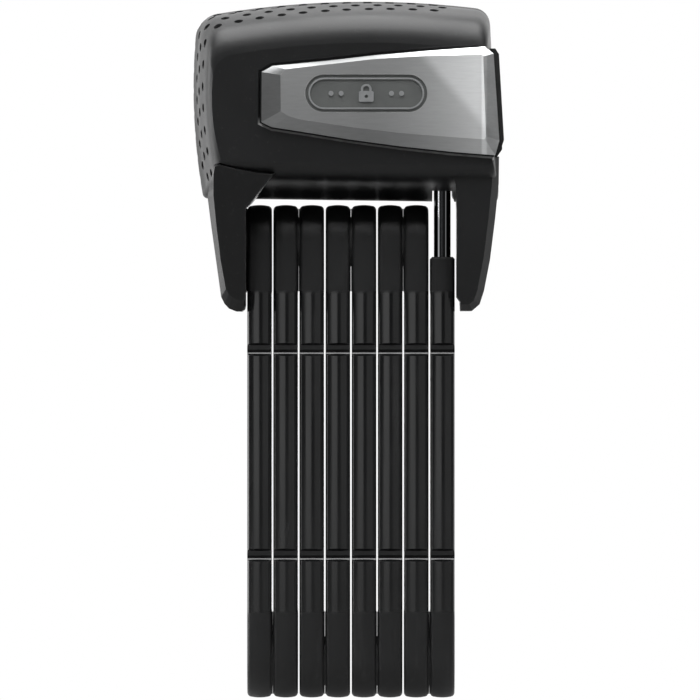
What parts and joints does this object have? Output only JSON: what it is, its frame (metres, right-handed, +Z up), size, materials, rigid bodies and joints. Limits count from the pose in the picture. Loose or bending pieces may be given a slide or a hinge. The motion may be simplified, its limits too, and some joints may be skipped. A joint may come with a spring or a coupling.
{
  "type": "folding bike lock",
  "caption": "Folding bike lock: eight riveted, sleeved steel bars hang from a black alarm housing with a faceted silver plate; the last bar ends in a locking bolt.",
  "frame": {"origin": "on the resting plane under the folded bars, centred on the housing in X and Y", "axes": "+X across the stack of bars towards the locking bolt, +Y towards the back of the housing, +Z up from the lower pivots to the housing"},
  "size_m": [0.093, 0.0496, 0.2088],
  "materials": {
    "shell_black": "fine moulded texture",
    "silver_trim": "satin faceted plate",
    "badge_gloss": "smooth inlay",
    "link_sleeve": "glossy shank, satin ends",
    "hardened_steel": "dark hardened",
    "bolt_steel": "dark polished",
    "rivet_steel": "dark satin",
    "bearing_plastic": "self-lubricating",
    "flap_rubber": "soft",
    "screw_steel": "satin",
    "gear_brass": "machined",
    "motor_can": "drawn can",
    "board_green": "solder mask",
    "board_black": "moulded",
    "battery_wrap": "shrink wrap",
    "mesh_cloth": "woven",
    "light_guide": "milky"
  },
  "bodies": {
    "housing": {"acoustic_mesh": "mesh_cloth", "battery_cell": "battery_wrap", "button_dome": "motor_can", "charging_socket": "motor_can", "circuit_board": "board_green", "cover_screws": "screw_steel", "cover_seal": "flap_rubber", "flap_pin": "screw_steel", "front_casing": "shell_black", "gear_motor": "motor_can", "lock_chassis": "hardened_steel", "motor_bracket": "motor_can", "pivot_housing": "shell_black", "rear_cover": "shell_black", "rivet_base": "rivet_steel", "siren": "board_black", "slider_guide": "bearing_plastic", "status_inlay": "badge_gloss", "status_light": "light_guide", "trim_plate": "silver_trim", "washer_base": "bearing_plastic"},
    "link_1": {"link_1_core": "hardened_steel", "link_1_sleeve": "link_sleeve", "rivet_1_2": "rivet_steel", "washer_1_2": "bearing_plastic"},
    "link_2": {"link_2_core": "hardened_steel", "link_2_sleeve": "link_sleeve", "rivet_2_3": "rivet_steel", "washer_2_3": "bearing_plastic"},
    "link_3": {"link_3_core": "hardened_steel", "link_3_sleeve": "link_sleeve", "rivet_3_4": "rivet_steel", "washer_3_4": "bearing_plastic"},
    "link_4": {"link_4_core": "hardened_steel", "link_4_sleeve": "link_sleeve", "rivet_4_5": "rivet_steel", "washer_4_5": "bearing_plastic"},
    "link_5": {"link_5_core": "hardened_steel", "link_5_sleeve": "link_sleeve", "rivet_5_6": "rivet_steel", "washer_5_6": "bearing_plastic"},
    "link_6": {"link_6_core": "hardened_steel", "link_6_sleeve": "link_sleeve", "rivet_6_7": "rivet_steel", "washer_6_7": "bearing_plastic"},
    "link_7": {"link_7_core": "hardened_steel", "link_7_sleeve": "link_sleeve", "rivet_7_8": "rivet_steel", "washer_7_8": "bearing_plastic"},
    "link_8": {"bolt_pins": "screw_steel", "link_8_core": "hardened_steel", "link_8_sleeve": "link_sleeve", "locking_bolt": "bolt_steel"},
    "slider": {"locking_slider": "hardened_steel"},
    "pinion": {"drive_pinion": "gear_brass"},
    "button": {"wake_button": "flap_rubber"},
    "flap": {"charging_flap": "flap_rubber"}
  },
  "joints": [
    {"name": "pivot_base", "type": "hinge", "parent": "housing", "child": "link_1", "pos_m": [-0.03072, 0, 0.13675], "axis": [1, 0, 0], "range_deg": [-90, 0]},
    {"name": "pivot_1_2", "type": "hinge", "parent": "link_1", "child": "link_2", "pos_m": [-0.02319, 0, 0.011], "axis": [1, 0, 0], "range_deg": [-170, 0]},
    {"name": "pivot_2_3", "type": "hinge", "parent": "link_2", "child": "link_3", "pos_m": [-0.01536, 0, 0.13675], "axis": [1, 0, 0], "range_deg": [-90, 0]},
    {"name": "pivot_3_4", "type": "hinge", "parent": "link_3", "child": "link_4", "pos_m": [-0.00754, 0, 0.011], "axis": [1, 0, 0], "range_deg": [-170, 0]},
    {"name": "pivot_4_5", "type": "hinge", "parent": "link_4", "child": "link_5", "pos_m": [0.00028, 0, 0.13675], "axis": [1, 0, 0], "range_deg": [-90, 0]},
    {"name": "pivot_5_6", "type": "hinge", "parent": "link_5", "child": "link_6", "pos_m": [0.00811, 0, 0.011], "axis": [1, 0, 0], "range_deg": [-170, 0]},
    {"name": "pivot_6_7", "type": "hinge", "parent": "link_6", "child": "link_7", "pos_m": [0.01593, 0, 0.13675], "axis": [1, 0, 0], "range_deg": [-90, 0]},
    {"name": "pivot_7_8", "type": "hinge", "parent": "link_7", "child": "link_8", "pos_m": [0.02376, 0, 0.011], "axis": [1, 0, 0], "range_deg": [-170, 0]},
    {"name": "slider_slide", "type": "slide", "parent": "housing", "child": "slider", "axis": [1, 0, 0], "range_m": [0, 0.008]},
    {"name": "pinion_turn", "type": "hinge", "parent": "housing", "child": "pinion", "pos_m": [0, 0, 0.1725], "axis": [0, 1, 0], "range_deg": [-80, 0]},
    {"name": "button_press", "type": "slide", "parent": "housing", "child": "button", "axis": [0, -1, 0], "range_m": [0, 0.0008]},
    {"name": "flap_swing", "type": "hinge", "parent": "housing", "child": "flap", "pos_m": [0.0445, 0, 0.1646], "axis": [0, 1, 0], "range_deg": [0, 95]}
  ],
  "couplings": [
    {"joint": "pinion_turn", "follows": "slider_slide", "rad_per_m": -166.67}
  ]
}
